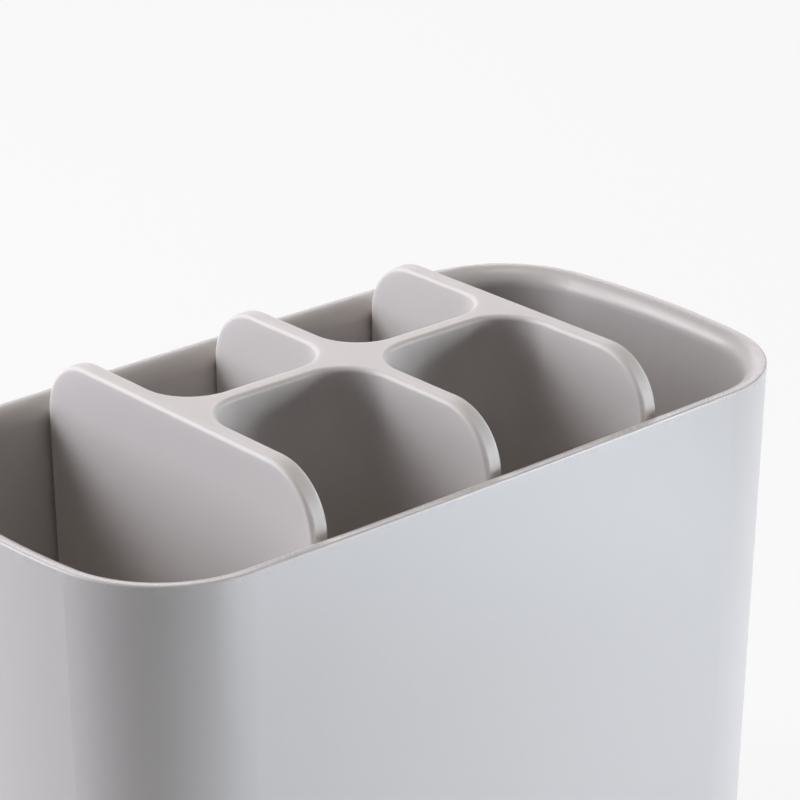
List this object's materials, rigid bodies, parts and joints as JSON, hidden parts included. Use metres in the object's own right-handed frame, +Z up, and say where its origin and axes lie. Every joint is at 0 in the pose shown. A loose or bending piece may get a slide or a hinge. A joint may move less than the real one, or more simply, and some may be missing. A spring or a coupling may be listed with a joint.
{
  "type": "toothbrush holder",
  "caption": "Free-standing tapered holder with soft corners and a lift-out divider that parts it into upright cells for toothbrushes and roomier end bays for tubes.",
  "frame": {"origin": "on the counter, under the middle of the shell", "axes": "+X along the length of the holder, +Y from the front long side to the rear one, +Z up"},
  "size_m": [0.1764, 0.093, 0.1256],
  "materials": {
    "shell_plastic": "fine satin moulding, pale grey",
    "divider_plastic": "fine satin moulding, pale warm grey",
    "foot_rubber": "soft matt grey rubber"
  },
  "bodies": {
    "holder": {"outer_shell": "shell_plastic", "foot_front_left": "foot_rubber", "foot_front_right": "foot_rubber", "foot_rear_left": "foot_rubber", "foot_rear_right": "foot_rubber"},
    "divider": {"divider": "divider_plastic"}
  },
  "joints": [
    {"name": "divider_lift", "type": "slide", "parent": "holder", "child": "divider", "axis": [0, 0, 1], "range_m": [0, 0.12]}
  ]
}
